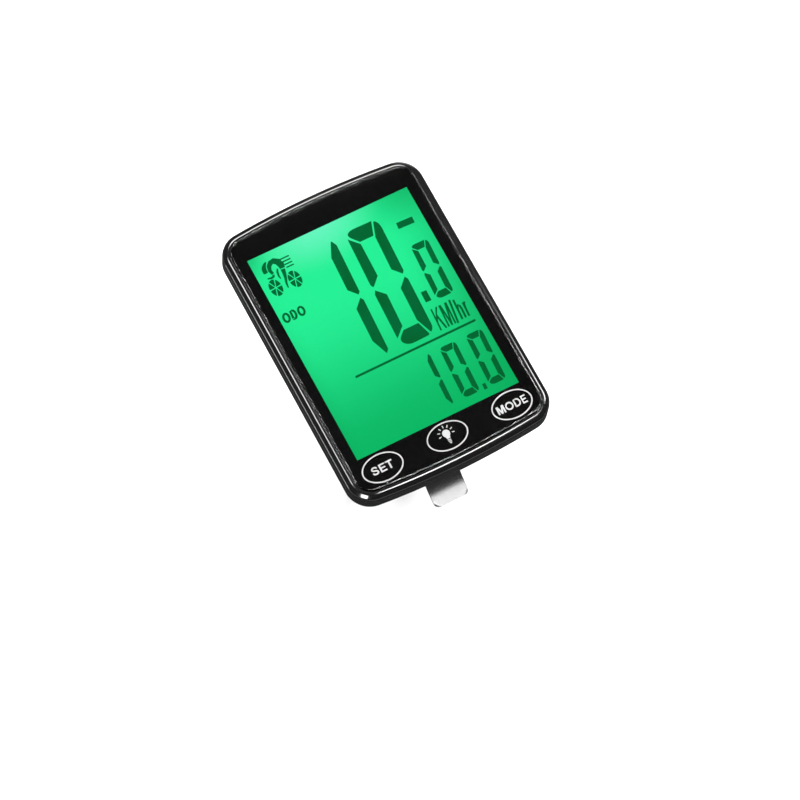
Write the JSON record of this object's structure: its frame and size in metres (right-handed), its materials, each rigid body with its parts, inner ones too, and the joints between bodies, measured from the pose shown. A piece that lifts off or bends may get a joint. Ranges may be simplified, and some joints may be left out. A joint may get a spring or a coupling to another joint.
{
  "type": "cycling computer",
  "caption": "Handlebar cycling computer: a rectangular display head with touch keys that slides off a sprung bracket tied to the bar.",
  "frame": {"origin": "on the handlebar's axis, under the middle of the head's width", "axes": "+X to the rider's right along the handlebar, +Y forwards towards the top of the display, +Z out of the display face"},
  "size_m": [0.0478, 0.0688, 0.0471],
  "materials": {
    "gloss_black": "polished injection-moulded ABS",
    "satin_black": "fine spark-eroded texture",
    "window": "clear hard-coated acrylic, printed on its back",
    "lcd_glass": "thin display glass, lit green",
    "polariser": "satin film",
    "adhesive": "black foam tape",
    "white_plastic": "moulded white plastic",
    "light_guide_acrylic": "clear acrylic, lit green from its top edge",
    "lamp": "lit green lamp",
    "rubber": "matt silicone and nitrile rubber",
    "circuit_board": "green solder resist on glass-epoxy",
    "epoxy": "black moulding compound",
    "steel": "bright stainless steel",
    "copper": "lacquered copper wire",
    "ferrite": "dark sintered ferrite",
    "nylon": "satin black nylon"
  },
  "bodies": {
    "bracket": {"bracket_base": "satin_black", "bar_pad": "rubber", "release_spring_clamp": "steel", "spring_rivet_left": "steel", "spring_rivet_right": "steel", "cable_tie_left": "nylon", "cable_tie_right": "nylon"},
    "head": {"front_housing": "gloss_black", "back_housing": "satin_black", "case_seal": "rubber", "window_lens": "window", "lens_adhesive": "adhesive", "lcd_front_polariser": "polariser", "lcd_front_glass": "lcd_glass", "lcd_rear_glass": "lcd_glass", "lcd_rear_polariser": "polariser", "lcd_connector_strip": "rubber", "display_frame": "white_plastic", "diffuser_sheet": "white_plastic", "light_guide": "light_guide_acrylic", "reflector_sheet": "white_plastic", "backlight_lamp_left": "lamp", "backlight_lamp_right": "lamp", "main_board": "circuit_board", "touch_spring_set": "steel", "touch_spring_light": "steel", "touch_spring_mode": "steel", "controller_blob": "epoxy", "receiver_chip": "epoxy", "timing_crystal": "steel", "storage_capacitor": "epoxy", "receiver_coil_core": "ferrite", "receiver_coil_winding": "copper", "battery_contact_plus": "steel", "battery_contact_minus": "steel", "coin_cell_can": "steel", "coin_cell_gasket": "rubber", "coin_cell_lid": "steel", "case_screw_left": "steel", "case_screw_right": "steel", "board_screw_left": "steel", "board_screw_right": "steel"},
    "battery_cap": {"battery_cap": "satin_black", "battery_cap_seal": "rubber"},
    "release_spring": {"release_spring_tab": "steel"}
  },
  "joints": [
    {"name": "head_slide", "type": "slide", "parent": "bracket", "child": "head", "axis": [0, 1, 0], "range_m": [0, 0.028]},
    {"name": "battery_cap_turn", "type": "hinge", "parent": "head", "child": "battery_cap", "pos_m": [0, 0.0227, 0.0185], "axis": [0, 0, -1], "range_deg": [0, 45]},
    {"name": "release_press", "type": "hinge", "parent": "bracket", "child": "release_spring", "pos_m": [0, 0.0037, 0.017], "axis": [1, 0, 0], "range_deg": [0, 6], "stiffness_Nm_per_rad": 1.7, "springref_deg": -1.72}
  ]
}
